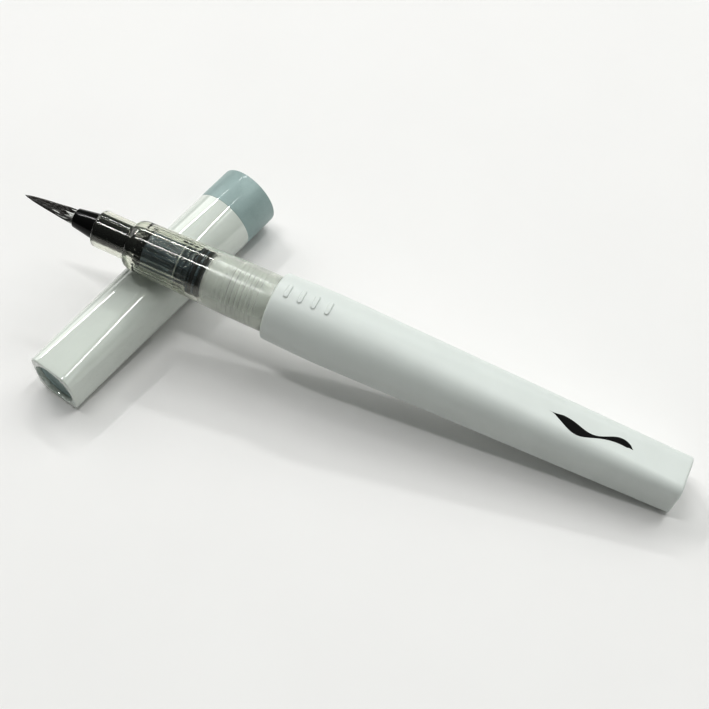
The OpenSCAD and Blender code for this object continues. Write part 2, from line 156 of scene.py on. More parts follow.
class FinishColours(bpy.types.PropertyGroup):
    """Colours of the finishes."""
    barrel: colour("Barrel", (0.68, 0.71, 0.69), "Satin white of the squeeze barrel")
    neck: colour("Neck", (0.96, 0.99, 0.99), "Frosted white of the threaded neck")
    clear: colour("Clear", (0.97, 0.97, 0.93), "Tint of the clear front")
    felt: colour("Felt", (0.075, 0.105, 0.135), "Ink-soaked felt")
    black: colour("Black", (0.002, 0.002, 0.002), "Gloss black ferrule")
    hair: colour("Hair", (0.026, 0.019, 0.016), "Inked hair")
    # colour of the pale streaks in the hair close to the ferrule's mouth
    pale_streak_colour: colour("Pale hair", (0.80, 0.80, 0.78), "Wet hair at the ferrule")
    cap: colour("Cap", (0.67, 0.705, 0.66), "Gloss white of the cap")
    band: colour("Band", (0.30, 0.38, 0.375), "Blue-grey metallic of band and plug")
    liner: colour("Liner", (0.78, 0.80, 0.78), "Milky plastic of the liner")
    rubber: colour("Rubber", (0.012, 0.013, 0.015), "Seal rings")
    print_ink: colour("Print", (0.003, 0.003, 0.003), "Printed stroke")
    floor: colour("Floor", (0.825, 0.81, 0.808), "Pale floor")


class StageSettings(bpy.types.PropertyGroup):
    """Camera, light and floor."""
    camera_place: FloatVectorProperty(
        name="Camera place", description="Where the camera stands", size=3, precision=5,
        default=(0.06307, -0.12537, 0.21766), unit="LENGTH", subtype="TRANSLATION")
    camera_turn: turning("Camera turn", 25.781, "Turn about the upright axis")
    camera_tilt: turning("Camera tilt", 33.543, "Tilt up from looking straight down")
    camera_roll: turning("Camera roll", -1.627, "Turn about the line of sight")
    lens: FloatProperty(name="Lens", description="Focal length in millimetres", default=64.18,
                        min=10, unit="CAMERA")
    left_power: wattage("Left light", 10, "Power of the large light at the left")
    rear_power: wattage("Rear light", 14, "Power of the large light behind")
    right_power: wattage("Right light", 4.2, "Power of the fill light at the right")
    lamp_power: wattage("Tubes", 2.4, "Power of each wider tube")
    room_light: FloatProperty(name="Room light", description="Strength of the light from all round",
                              default=0.31, min=0, max=10)


GROUPS = {"pen_sizes": PenSizes, "cap_sizes": CapSizes, "pen_colours": FinishColours,
          "pen_stage": StageSettings}


def in_millimetres(group):
    """The group's sizes as plain numbers of millimetres."""
    return SimpleNamespace(**{key: getattr(group, key) / MM for key in type(group).__annotations__})


def tone(value, factor=1.0):
    """A colour with an alpha, lighter or darker by a factor."""
    return tuple(min(1.0, part * factor) for part in value) + (1.0,)


# Places -----------------------------------------------------------------------------------

def standing(origin, axis, side):
    """Matrix that lays a piece drawn upright about Z along an axis, its X turned to a side."""
    along = Vector(axis).normalized()
    side = Vector(side)
    across = (side - along * side.dot(along)).normalized()
    turn = Matrix((across, along.cross(across), along)).transposed().to_4x4()
    return Matrix.Translation(origin) @ turn


def pen_place(size):
    """Where the barrel's rim is, with X on the pen's upper side."""
    tail = MOUNTS["tail_face"]
    axis = -Vector(tail["axis"])
    return standing(Vector(tail["pos_m"]) + axis * size.barrel_length * MM, axis, (0, 0, 1))


def cap_place(size):
    """Where the cap's closed end is, with X on the cap's underside."""
    mouth = MOUNTS["cap_mouth"]
    axis = Vector(mouth["axis"])
    middle = size.cap_length - 0.05 - size.band_length / 2
    return standing(Vector(mouth["pos_m"]) - axis * middle * MM, axis, (0, 0, -1))


# Modelling --------------------------------------------------------------------------------

def clear_selection():
    """Leaves edit mode and deselects everything."""
    if bpy.context.mode != "OBJECT":
        bpy.ops.object.mode_set(mode="OBJECT")
    bpy.ops.object.select_all(action="DESELECT")


def pick(piece):
    """Selects one piece and nothing else."""
    clear_selection()
    piece.select_set(True)
    bpy.context.view_layer.objects.active = piece


def seal(piece):
    """Merges seams and poles, drops stray parts and turns the faces outwards."""
    pick(piece)
    bpy.ops.object.mode_set(mode="EDIT")
    bpy.ops.mesh.select_all(action="SELECT")
    bpy.ops.mesh.remove_doubles(threshold=1e-4)
    bpy.ops.mesh.delete_loose(use_verts=True, use_edges=True, use_faces=False)
    bpy.ops.mesh.select_all(action="SELECT")
    bpy.ops.mesh.normals_make_consistent(inside=False)
    bpy.ops.object.mode_set(mode="OBJECT")


def turned(name, outline, around):
    """Spins a closed outline of (radius, height) points about Z into a sealed solid."""
    clear_selection()
    bpy.ops.mesh.primitive_circle_add(vertices=len(outline), radius=1, location=(0, 0, 0))
    piece = bpy.context.object
    piece.name = piece.data.name = name
    for vertex, (radius, height) in zip(piece.data.vertices, outline):
        vertex.co = (radius, 0, height)
    bpy.ops.object.mode_set(mode="EDIT")
    bpy.ops.mesh.select_all(action="SELECT")
    bpy.ops.mesh.spin(steps=around, angle=2 * pi, center=(0, 0, 0), axis=(0, 0, 1))
    bpy.ops.object.mode_set(mode="OBJECT")
    seal(piece)
    return piece


def reshape(piece, move):
    """Moves every vertex to where move(radius, angle, height) puts it."""
    for vertex in piece.data.vertices:
        x, y, z = vertex.co
        vertex.co = move(hypot(x, y), atan2(y, x), z)
    piece.data.update()


def polar(radius, angle, height):
    """Point at a radius, an angle and a height."""
    return radius * cos(angle), radius * sin(angle), height


def flute(piece, depth, where):
    """Sinks fine lengthwise flutes into a turned piece where where(radius, height) holds."""
    def cut(radius, angle, height):
        if where(radius, height):
            radius -= depth * (0.5 + 0.5 * cos(FLUTES * angle)) ** 3
        return polar(radius, angle, height)

    reshape(piece, cut)


def quarter(middle, reach, spacing, outward=False):
    """Quarter of an ellipse about a (radius, height) middle, starting at its side or its end."""
    bends = [(cos(a), sin(a)) for a in stations(0, pi / 2, spacing)]
    return [(middle[0] + reach[0] * (rise if outward else run),
             middle[1] + reach[1] * (run if outward else rise)) for run, rise in bends]


def rounded(corners, steps=5):
    """Outline through (radius, height, rounding) corners, each rounding drawn as an arc."""
    outline = []
    for i, (radius, height, rounding) in enumerate(corners):
        corner = Vector((radius, height))
        before = Vector(corners[i - 1][:2]) - corner
        after = Vector(corners[(i + 1) % len(corners)][:2]) - corner
        half = before.angle(after) / 2
        if not rounding or abs(half - pi / 2) < 1e-3:
            outline.append((radius, height))
            continue
        reach = min(rounding / tan(half), 0.49 * before.length, 0.49 * after.length)
        middle = corner + (before.normalized() + after.normalized()).normalized() * reach / cos(half)
        start = corner + before.normalized() * reach - middle
        end = corner + after.normalized() * reach - middle
        first = atan2(start.y, start.x)
        sweep = (atan2(end.y, end.x) - first + pi) % (2 * pi) - pi
        for k in range(steps + 1):
            angle = first + sweep * k / steps
            outline.append((middle.x + start.length * cos(angle), middle.y + start.length * sin(angle)))
    return outline


def stations(start, end, spacing):
    """Evenly spaced numbers from start to just before end."""
    count = max(1, ceil(abs(end - start) / spacing))
    return [start + (end - start) * k / count for k in range(count)]


def wall(radius, start, end, spacing):
    """Straight run of an outline, as (radius, height) points."""
    return [(radius, height) for height in stations(start, end, spacing)]


def mix(low, high, part):
    """Number between low and high."""
    return low + (high - low) * part


def ease(low, high, value):
    """Smooth rise from 0 at low to 1 at high."""
    part = min(1.0, max(0.0, (value - low) / (high - low)))
    return part * part * (3 - 2 * part)


def on_round_square(angle, corner, reach):
    """Point at a share of the way round a square with round corners."""
    quarter = angle % (2 * pi) / (pi / 2)
    turn = int(quarter) % 4
    walk = (quarter - int(quarter)) * (2 * reach + corner * pi / 2)
    arc = corner * pi / 2
    if walk < reach:
        x, y = reach + corner, walk
    elif walk < reach + arc:
        bend = (walk - reach) / corner
        x, y = reach + corner * cos(bend), reach + corner * sin(bend)
    else:
        x, y = 2 * reach + arc - walk, reach + corner
    for _ in range(turn):
        x, y = -y, x
    return x, y


def ridge_rise(turn_at, share_round, pitch, widths, turns):
    """Height share of a helical ridge, with a run-in of half a turn at each end."""
    turn = round(turn_at - share_round) + share_round
    if not 0 <= turn <= turns:
        return 0.0
    off = abs(turn_at - turn) * pitch
    flank = min(1.0, max(0.0, (widths[0] * pitch / 2 - off) / ((widths[0] - widths[1]) * pitch / 2)))
    return flank * (0.3 + 0.7 * min(1.0, 2 * turn, 2 * (turns - turn)))


def refinish(node, finish):
    """Gives a CAD node its finish."""
    part = frame["nodes"][node]
    for material_slot in part.material_slots:
        material_slot.material = finish


# Finishes ---------------------------------------------------------------------------------

class Nodes:
    """A node tree that is built one node at a time."""

    def __init__(self, tree):
        self.tree = tree

    def node(self, kind, inputs=None, output=0, **settings):
        """Adds a node, sets or links its inputs and gives back one output."""
        new = self.tree.nodes.new("ShaderNode" + kind)
        for key, value in settings.items():
            setattr(new, key, value)
        for key, value in (inputs or {}).items():
            if isinstance(value, bpy.types.NodeSocket):
                self.tree.links.new(value, new.inputs[key])
            else:
                new.inputs[key].default_value = value
        return new.outputs[output]

    def sum(self, operation, *values):
        """One step of arithmetic."""
        return self.node("Math", dict(enumerate(values)), operation=operation)

    def split(self, vector):
        """A vector's three coordinates."""
        parts = self.tree.nodes.new("ShaderNodeSeparateXYZ")
        self.tree.links.new(vector, parts.inputs[0])
        return parts.outputs

    def ranged(self, value, low, high, to_low=0.0, to_high=1.0):
        """A value mapped from one range to another, held at its ends."""
        return self.node("MapRange", {"Value": value, "From Min": low, "From Max": high,
                                      "To Min": to_low, "To Max": to_high})

    def spread(self, value, to_low=0.0, to_high=1.0):
        """The middle of a noise, spread over a range."""
        return self.ranged(value, 0.3, 0.7, to_low, to_high)

    def blend(self, part, low, high):
        """One colour fading to another."""
        return self.node("Mix", {0: part, 6: low, 7: high}, output=2, data_type="RGBA")



class Finish(Nodes):
    """A node material whose pattern is measured in millimetres along a piece's own axis."""

    def __init__(self, name, place, sockets):
        self.material = bpy.data.materials.new(name)
        self.material.use_nodes = True
        super().__init__(self.material.node_tree)
        self.shader = self.tree.nodes["Principled BSDF"]
        for label, value in sockets.items():
            self.shader.inputs[label].default_value = value
        back = place.inverted()
        turn = back.to_3x3()
        coordinates = self.node("TexCoord", output="Object")
        self.point = self.node(
            "Mapping", {"Vector": coordinates, "Scale": (1 / MM,) * 3, "Rotation": turn.to_euler(),
                        "Location": back.translation / MM})

    def noise(self, scale, detail=2.0, roughness=0.5, vector=None):
        """Noise with so many patches in a millimetre."""
        return self.node("TexNoise", {"Vector": vector or self.point, "Scale": scale,
                                      "Detail": detail, "Roughness": roughness})

    def stretched(self, around, along):
        """Coordinates for lengthwise streaks: turns round the axis and millimetres along it."""
        x, y, z = self.parts()
        angle = self.sum("ARCTAN2", y, x)
        far = self.sum("SQRT", self.sum("ADD", self.sum("MULTIPLY", x, x), self.sum("MULTIPLY", y, y)))
        return self.node("CombineXYZ", {
            "X": self.sum("MULTIPLY", self.sum("SINE", angle), around),
            "Y": self.sum("MULTIPLY", self.sum("COSINE", angle), around),
            "Z": self.sum("ADD", self.sum("MULTIPLY", z, along), self.sum("MULTIPLY", far, 0.15))})

    def streaks(self, around, along, detail, roughness=0.5):
        """Noise drawn out along the piece."""
        return self.noise(1.0, detail, roughness, vector=self.stretched(around, along))

    def parts(self):
        """The pattern's three coordinates."""
        return self.split(self.point)

    def to(self, label, socket):
        self.tree.links.new(socket, self.shader.inputs[label])

    def bumped(self, height, depth, strength):
        """A bump so many millimetres deep."""
        return self.node("Bump", {"Height": height, "Distance": depth * MM, "Strength": strength})

    def surface(self, colour, roughness, bump):
        """Sets the three patterns that every finish has and gives back the material."""
        self.to("Base Color", colour)
        self.to("Roughness", roughness)
        self.to("Normal", self.bumped(*bump))
        return self.material


def satin_white(name, place, shade):
    """Soft satin plastic with a fine mould grain and faint cloudiness."""
    finish = Finish(name, place, {"Subsurface Weight": 0.12, "Subsurface Scale": 0.001,
                                  "Subsurface Radius": (1.0, 1.0, 0.9), "IOR": 1.49})
    cloud = finish.noise(0.16, 3)
    finish.to("Base Color", finish.blend(finish.spread(cloud), tone(shade, 0.965), tone(shade)))
    grain = finish.noise(9, 4, 0.6)
    finish.to("Roughness", finish.spread(finish.noise(1.7, 4), 0.36, 0.47))
    finish.to("Normal", finish.bumped(grain, 0.006, 0.7))
    return finish.material


def frosted(name, place, shade):
    """Milky moulded plastic that lets light through."""
    finish = Finish(name, place, {"IOR": 1.46, "Subsurface Weight": 0.5,
                                  "Subsurface Scale": 0.003, "Subsurface Radius": (1.0, 1.0, 0.95)})
    cloud = finish.noise(0.45, 3)
    return finish.surface(finish.blend(finish.spread(cloud), tone(shade, 0.93), tone(shade)),
                          finish.spread(finish.noise(2.2, 4), 0.26, 0.4), (finish.noise(6, 3), 0.008, 0.6))


def clear_plastic(name, place, shade):
    """Clear moulding with slight flow waves and hairline scuffs."""
    finish = Finish(name, place, {"IOR": 1.49})
    flow = finish.noise(0.5, 2, vector=finish.stretched(1.6, 0.08))
    scuffs = finish.streaks(22, 0.5, 5, 0.65)
    smooth = finish.ranged(scuffs, 0.45, 0.75, 0.01, 0.05)
    z = finish.parts()["Z"]
    finish.to("Roughness", finish.sum("ADD", smooth, finish.ranged(z, 13.0, 14.6, 0.18, 0.0)))
    finish.to("Base Color", finish.blend(finish.ranged(z, 13.0, 14.6), (0.97, 0.99, 0.95, 1), tone(shade)))
    finish.to("Transmission Weight", finish.ranged(z, 13.0, 14.6, 0.74, 1.0))
    finish.to("Normal", finish.bumped(flow, 0.004, 0.3))
    tint = finish.node("VolumeAbsorption", {"Color": (0.80, 0.83, 0.71, 1), "Density": 190.0})
    finish.tree.links.new(tint, finish.tree.nodes["Material Output"].inputs["Volume"])
    return finish.material


def inked_felt(name, place, shade):
    """Wet fibre sleeve with lengthwise streaks; its pale streaks are partly fibre and partly painted
    highlight lines.
    """
    finish = Finish(name, place, {"Coat Weight": 0.5, "Coat Roughness": 0.2, "IOR": 1.45})
    streaks = finish.streaks(7, 0.09, 3, 0.6)
    fibres = finish.streaks(34, 0.35, 4, 0.6)
    dark = finish.blend(finish.ranged(streaks, 0.42, 0.62), tone(shade, 0.55), tone(shade, 1.5))
    # pale streaks: partly fibre texture, partly painted lengthwise highlight lines
    light = finish.ranged(fibres, 0.60, 0.72)
    return finish.surface(finish.blend(light, dark, tone(shade, 5)),
                          finish.spread(fibres, 0.3, 0.55), (fibres, 0.05, 0.8))


def gloss_plastic(name, place, shade, dull=0.1, coat=0.4, shine=0.5, coat_ior=1.5):
    """Hard gloss plastic with faint flow marks, smears and rubbed spots."""
    finish = Finish(name, place, {"IOR": 1.5, "Coat Weight": coat, "Coat Roughness": 0.015,
                                  "Coat IOR": coat_ior, "Specular IOR Level": shine})
    cloud = finish.noise(0.2, 3)
    specks = finish.ranged(finish.noise(3.5, 2), 0.72, 0.76)
    plain = finish.blend(finish.spread(cloud), tone(shade, 0.98), tone(shade, 1.01))
    finish.to("Base Color", finish.blend(specks, plain, tone(shade, 0.9)))
    smears = finish.noise(0.9, 4, 0.6)
    finish.to("Roughness", finish.ranged(smears, 0.3, 0.75, dull * 0.6, dull * 2))
    finish.to("Normal", finish.bumped(finish.noise(0.3, 2), 0.008, 0.4))
    return finish.material


def metallic(name, place, shade):
    """Fine blue-grey metal flake under a thin lacquer."""
    finish = Finish(name, place, {"Metallic": 0.1, "Coat Weight": 0.2, "Coat Roughness": 0.02, "IOR": 1.5,
                                  "Specular IOR Level": 0.3})
    flakes = finish.node("TexVoronoi", {"Vector": finish.point, "Scale": 14.0}, output="Color")
    spark = finish.node("SeparateColor", {"Color": flakes}, output=0)
    cloud = finish.spread(finish.noise(0.3, 3))
    base = finish.blend(cloud, tone(shade, 0.92), tone(shade, 1.06))
    return finish.surface(finish.blend(finish.ranged(spark, 0.0, 1.0, 0.0, 0.35), base, tone(shade, 1.45)),
                          finish.ranged(spark, 0.0, 1.0, 0.42, 0.58), (spark, 0.003, 0.5))


def milky(name, place, shade):
    """Cloudy soft plastic with faint draw lines."""
    finish = Finish(name, place, {"Subsurface Weight": 0.3, "Subsurface Scale": 0.001, "IOR": 1.47,
                                  "Transmission Weight": 0.15})
    lines = finish.streaks(14, 0.1, 3, 0.5)
    return finish.surface(finish.blend(lines, tone(shade, 0.92), tone(shade, 1.03)),
                          finish.spread(finish.noise(1.2, 3), 0.28, 0.42), (lines, 0.02, 0.5))


def rubber(name, place, shade):
    """Black rubber with a dusty, oily bloom."""
    finish = Finish(name, place, {"IOR": 1.5})
    bloom = finish.noise(1.4, 4, 0.6)
    return finish.surface(finish.blend(finish.ranged(bloom, 0.4, 0.8), tone(shade), tone(shade, 3)),
                          finish.spread(bloom, 0.3, 0.5), (finish.noise(8, 3), 0.01, 0.5))


def fibre(name, place, shade, spread):
    """Bonded lengthwise fibres, dark with ink."""
    finish = Finish(name, place, {"IOR": 1.45})
    strands = finish.streaks(26, 0.5, 4, 0.6)
    part = finish.ranged(strands, 0.35, 0.7)
    return finish.surface(finish.blend(part, tone(shade, 0.6), tone(shade, spread)),
                          finish.spread(strands, 0.45, 0.75), (strands, 0.06, 0.8))


def wet_hair(name, place, shade, pale, mouth):
    """Inked hair: brown-black with grey flecks, and pale streaks between the clumps close to where it leaves
    the ferrule.
    """
    finish = Finish(name, place, {"IOR": 1.5, "Coat Weight": 0.1, "Coat Roughness": 0.2})
    streaks = finish.streaks(8, 0.2, 2, 0.5)
    flecks = finish.streaks(11, 1.1, 3, 0.6)
    body = finish.blend(finish.ranged(streaks, 0.4, 0.65), tone(shade, 0.3), tone(shade, 1.3))
    body = finish.blend(finish.ranged(flecks, 0.54, 0.6), body, tone(pale, 0.3))
    z = finish.parts()["Z"]
    near = finish.ranged(z, mouth + 0.4, mouth + 2.8, 0.52, 0.36)
    clumps = finish.streaks(3.2, 0.2, 1, 0.4)
    # pale streaks between the clumps, more of them close to the ferrule's mouth
    pale_near_mouth = finish.ranged(finish.sum("SUBTRACT", near, clumps), 0.0, 0.02)
    return finish.surface(finish.blend(pale_near_mouth, body, tone(pale)),
                          finish.spread(flecks, 0.28, 0.5), (flecks, 0.03, 0.6))


def print_ink(name, place, shade):
    """Pad-printed ink, a little uneven."""
    finish = Finish(name, place, {"IOR": 1.5, "Specular IOR Level": 0.06})
    grain = finish.noise(5, 4, 0.7)
    return finish.surface(finish.blend(finish.ranged(grain, 0.45, 0.8), tone(shade), tone(shade, 4)),
                          finish.spread(grain, 0.35, 0.55), (grain, 0.004, 0.5))


def table_top(name, shade):
    """Pale matt table with a faint mottle."""
    finish = Finish(name, Matrix.Identity(4), {"IOR": 1.4, "Specular IOR Level": 0.2})
    mottle = finish.noise(0.03, 4, 0.6)
    return finish.surface(finish.blend(finish.spread(mottle), tone(shade, 0.985), tone(shade)),
                          finish.spread(finish.noise(0.8, 3), 0.55, 0.7), (finish.noise(1.2, 3), 0.01, 0.4))


# Pieces -----------------------------------------------------------------------------------

class PenOperator:
    """What the operators share: each reads the settings and then makes its pieces."""
    bl_options = {"REGISTER", "UNDO"}

    def execute(self, context):
        scene = context.scene
        self.size = in_millimetres(scene.pen_sizes)
        self.cap = in_millimetres(scene.cap_sizes)
        self.colour = scene.pen_colours
        self.pen_at = pen_place(self.size)
        self.cap_at = cap_place(self.cap)
        self.make(context)
        return {"FINISHED"}

    def fit(self, piece, body, slot, finish, replaced=(), smooth=32):
        """Shades a piece, lays it in its place, gives it its finish and joins it to its body."""
        pick(piece)
        bpy.ops.object.shade_smooth_by_angle(angle=radians(smooth))
        place = self.cap_at if body == "cap" else self.pen_at
        piece.matrix_world = place @ Matrix.Scale(MM, 4)
        bpy.ops.object.transform_apply(location=True, rotation=True, scale=True)
        piece.data.materials.clear()
        piece.data.materials.append(finish)
        if replaced:
            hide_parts(*replaced)
        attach(piece, body)
        clear_selection()


class PEN_OT_stage(PenOperator, bpy.types.Operator):
    """Lays the pale floor and sets the lights and the camera"""
    bl_idname = "pen.lay_stage"
    bl_label = "Stage"

    def make(self, context):
        stage = context.scene.pen_stage
        self.floor(context)
        self.lights(context, stage)
        self.camera(context, stage)

    def floor(self, context):
        clear_selection()
        bpy.ops.mesh.primitive_plane_add(size=6, location=(0, 0, -0.00002))
        floor = context.object
        floor.name = floor.data.name = "floor"
        bpy.ops.object.transform_apply(location=True)
        floor.data.materials.append(table_top("pale_floor", self.colour.floor))

    def lamp(self, name, direction, distance, width, depth, power, tint=(1, 1, 1)):
        """An area light aimed at the pen from a direction."""
        clear_selection()
        toward = Vector(direction).normalized()
        bpy.ops.object.light_add(type="AREA", location=toward * distance)
        lamp = bpy.context.object
        lamp.name = lamp.data.name = name
        lamp.rotation_euler = toward.to_track_quat("Z", "Y").to_euler()
        lamp.data.shape = "RECTANGLE"
        lamp.data.size, lamp.data.size_y = width, depth
        lamp.data.energy = power
        lamp.data.color = tint

    def tube(self, name, direction, along, width, power):
        """A thin bright tube that draws a line of light along a piece lying the same way."""
        self.lamp(name, direction, 1.2, 0.44, width, power)
        toward, along = Vector(direction).normalized(), Vector(along)
        along = (along - toward * along.dot(toward)).normalized()
        turn = Matrix((along, toward.cross(along), toward)).transposed()
        bpy.context.object.rotation_euler = turn.to_euler()

    def lights(self, context, stage):
        self.lamp("left_softbox", (-0.9, 0.35, 0.6), 2.2, 1.3, 1.3, stage.left_power, (1.0, 1.0, 0.985))
        self.lamp("rear_softbox", (0.35, 0.75, 0.9), 2.2, 1.6, 1.3, stage.rear_power, (0.98, 1.0, 0.98))
        self.lamp("right_softbox", (0.95, -0.3, 0.55), 2.2, 1.2, 1.2, stage.right_power)
        power = stage.lamp_power
        self.tube("rear_tube", (-0.244, 0.644, 0.725), (1, 0, 0), 0.05, power * 0.8)
        self.tube("near_tube", (-0.214, -0.049, 0.976), (1, 0, 0), 0.08, power)
        self.tube("left_tube", (-0.542, 0.339, 0.769), (0.25, 0.97, 0), 0.045, power * 0.8)
        self.tube("over_tube", (0.206, 0.185, 0.961), (0.25, 0.97, 0), 0.045, power * 0.8)
        self.surround(context, stage.room_light)
        view = context.scene.view_settings
        view.view_transform = "Standard"
        view.exposure, view.gamma = 0.14, 0.85

    def surround(self, context, strength):
        """Even light from all round, darker below and in front."""
        world = bpy.data.worlds.new("room")
        context.scene.world = world
        world.use_nodes = True
        room = Nodes(world.node_tree)
        toward = room.split(room.node("TexCoord", output="Generated"))
        height = room.ranged(toward["Z"], -0.1, 0.9, 0.45)
        depth = room.ranged(toward["Y"], -0.9, 0.6, 0.32)
        shade = room.blend(room.sum("MULTIPLY", height, depth),
                           (0.09, 0.105, 0.09, 1), (0.93, 1.0, 0.94, 1))
        background = room.tree.nodes["Background"]
        room.tree.links.new(shade, background.inputs["Color"])
        background.inputs["Strength"].default_value = strength

    def camera(self, context, stage):
        clear_selection()
        bpy.ops.object.camera_add(location=stage.camera_place)
        camera = context.object
        camera.name = camera.data.name = "camera"
        turn = (Matrix.Rotation(stage.camera_turn, 3, "Z") @ Matrix.Rotation(stage.camera_tilt, 3, "X")
                @ Matrix.Rotation(stage.camera_roll, 3, "Z"))
        camera.rotation_euler = turn.to_euler()
        camera.data.lens = stage.lens
        camera.data.sensor_width = 36
        camera.data.clip_start = 0.005
        camera.data.clip_end = 20
        context.scene.camera = camera


class PEN_OT_barrel(PenOperator, bpy.types.Operator):
    """Moulds the soft squeeze barrel with its raised squeeze bars"""
    bl_idname = "pen.mould_barrel"
    bl_label = "Squeeze barrel"

    def make(self, context):
        size = self.size
        corner_and_reach = barrel_section(size)
        half = lambda height: sum(corner_and_reach(height))
        edge, tail, thick = size.barrel_edge, -size.barrel_length, size.barrel_wall
        hole = size.neck_diameter / 2 + FILM
        rim = size.rim_diameter / 2
        outline = [(hole, 0), (rim - edge - 0.6, 0)]
        outline += quarter((rim - edge, -edge), (edge, edge), FILLET, outward=True)
        bars_end = -size.bar_first - (SQUEEZE_BARS - 1) * size.bar_pitch - 1.2
        for z in stations(-edge, bars_end, 0.12) + stations(bars_end, tail + edge, 1.5):
            outline.append((half(z), z))
        outline += quarter((half(tail + edge) - edge, tail + edge), (edge, -edge), FILLET)
        outline += [(half(tail) - edge, tail), (half(tail) * 0.55, tail), (0, tail)]
        outline += [(0, tail + thick), (half(tail) * 0.5, tail + thick),
                    (half(tail) - thick - 0.3, tail + thick)]
        outline += [(half(z) - thick, z) for z in stations(tail + thick + 0.3, -size.front_wall - 0.3, 4)]
        outline += [(half(-2) - thick - 0.3, -size.front_wall), (hole, -size.front_wall)]
        barrel = turned("squeeze_barrel", outline, 256)

        def mould(radius, angle, height):
            corner, reach = corner_and_reach(height)
            inset = corner + reach - radius
            if inset > thick + 0.35:
                scale = radius / (corner + reach - thick - 0.35)
                corner, reach = (corner - thick - 0.35) * scale, reach * scale
            else:
                corner -= inset
            x, y = on_round_square(angle, max(corner, 1e-5), reach) if radius > 1e-6 else (0, 0)
            if inset < 0.01 and x > 0 and height > bars_end:
                rise = size.bar_rise * squeeze_bar(size, y, height)
                x, y = x + rise * cos(angle), y + rise * sin(angle)
            return x, y, height

        reshape(barrel, mould)
        self.fit(barrel, "barrel", "barrel",
            satin_white("satin_white", self.pen_at, self.colour.barrel), ["barrel"])


def barrel_section(size):
    """Corner radius and flat half-width of the barrel at a height below the rim."""
    rim, belly = size.rim_diameter / 2, (size.rim_diameter + size.belly_rise) / 2
    run = size.barrel_length - size.belly_back
    reach_at_tail = size.tail_width / 2 - size.tail_corner

    def at(height):
        back = -height
        if back <= size.belly_back:
            return rim + (belly - rim) * sin(pi / 2 * max(0, back) / size.belly_back), 0
        part = (back - size.belly_back) / run
        return mix(belly, size.tail_corner, part), reach_at_tail * part

    return at


def squeeze_bar(size, y, height):
    """Height share of the raised bars: pill-shaped, with rounded edges."""
    nearest = min(SQUEEZE_BARS - 1, max(0, round((-height - size.bar_first) / size.bar_pitch)))
    along = height + size.bar_first + nearest * size.bar_pitch
    across = max(0, abs(y) - (size.bar_length - size.bar_width) / 2)
    return 1 - ease(size.bar_width / 2 - 0.14, size.bar_width / 2 + 0.04, hypot(across, along))


class PEN_OT_neck(PenOperator, bpy.types.Operator):
    """Moulds the threaded neck and finishes the plug in its bore"""
    bl_idname = "pen.mould_neck"
    bl_label = "Threaded neck"

    def make(self, context):
        size = self.size
        outer, bore, end = size.neck_diameter / 2, size.neck_bore / 2, size.neck_length
        thread_end = size.thread_start + (THREAD_TURNS + 0.6) * size.thread_pitch
        outline = [(bore, -size.front_wall), (outer, -size.front_wall)]
        outline += wall(outer, -size.front_wall + 0.5, size.thread_start - 0.6, 1.5)
        outline += wall(outer, size.thread_start - 0.6, thread_end, 0.08)
        outline += [(outer, thread_end), (outer, end - 0.3), (outer - 0.08, end - 0.09), (outer - 0.3, end),
                    (bore + 0.25, end), (bore + 0.07, end - 0.07), (bore, end - 0.25)]
        outline += wall(bore, end - 2, -size.front_wall + 1, 2)
        neck = turned("threaded_neck", outline, 120)

        def cut_thread(radius, angle, height):
            if radius > outer - 0.001 and size.thread_start - 0.5 < height < thread_end:
                radius += size.thread_depth * ridge_rise(
                    (height - size.thread_start) / size.thread_pitch, angle % (2 * pi) / (2 * pi),
                    size.thread_pitch, NECK_RIDGE, THREAD_TURNS)
            return polar(radius, angle, height)

        reshape(neck, cut_thread)
        self.fit(neck, "barrel", "barrel", frosted("frosted_white", self.pen_at, self.colour.neck),
            smooth=40)
        refinish("neck_plug", milky("neck_plug_white", self.pen_at, self.colour.liner))


class PEN_OT_print(PenOperator, bpy.types.Operator):
    """Prints one plain brush stroke on the barrel's upper face"""
    bl_idname = "pen.print_stroke"
    bl_label = "Printed stroke"

    def make(self, context):
        size = self.size
        section = barrel_section(size)
        clear_selection()
        bpy.ops.mesh.primitive_grid_add(x_subdivisions=110, y_subdivisions=8, size=2, location=(0, 0, 0))
        stroke = context.object
        stroke.name = stroke.data.name = "printed_stroke"
        for vertex in stroke.data.vertices:
            part = (vertex.co.x + 1) / 2
            width = 0.14 + 1.05 * sin(pi * part) ** 0.7 * (0.62 + 0.38 * cos(2 * pi * (1.5 * part - 0.1)))
            width *= ease(0, 0.05, part) * ease(1.0, 0.86, part)
            middle = -0.75 + 1.15 * sin(2 * pi * (1.2 * part + 0.06)) * (1 - 0.45 * part)
            height = mix(-74.0, -57.5, part) - 0.3 * vertex.co.y
            across = middle + vertex.co.y * width
            corner, reach = section(height)
            beyond = max(0.0, abs(across) - reach)
            rise = reach + sqrt(max(0.0, corner ** 2 - beyond ** 2))
            out = Vector((rise - reach if beyond else 1.0, beyond * (1 if across > 0 else -1)
                          if beyond else 0.0)).normalized()
            vertex.co = (rise + 0.004 * out.x, across + 0.004 * out.y, height)
        pick(stroke)
        bpy.ops.object.modifier_add(type="SOLIDIFY")
        film = stroke.modifiers[-1]
        film.thickness, film.offset = 0.012, 0
        bpy.ops.object.modifier_apply(modifier=film.name)
        seal(stroke)
        self.fit(stroke, "barrel", "barrel",
            print_ink("print_black", self.pen_at, self.colour.print_ink), smooth=60)


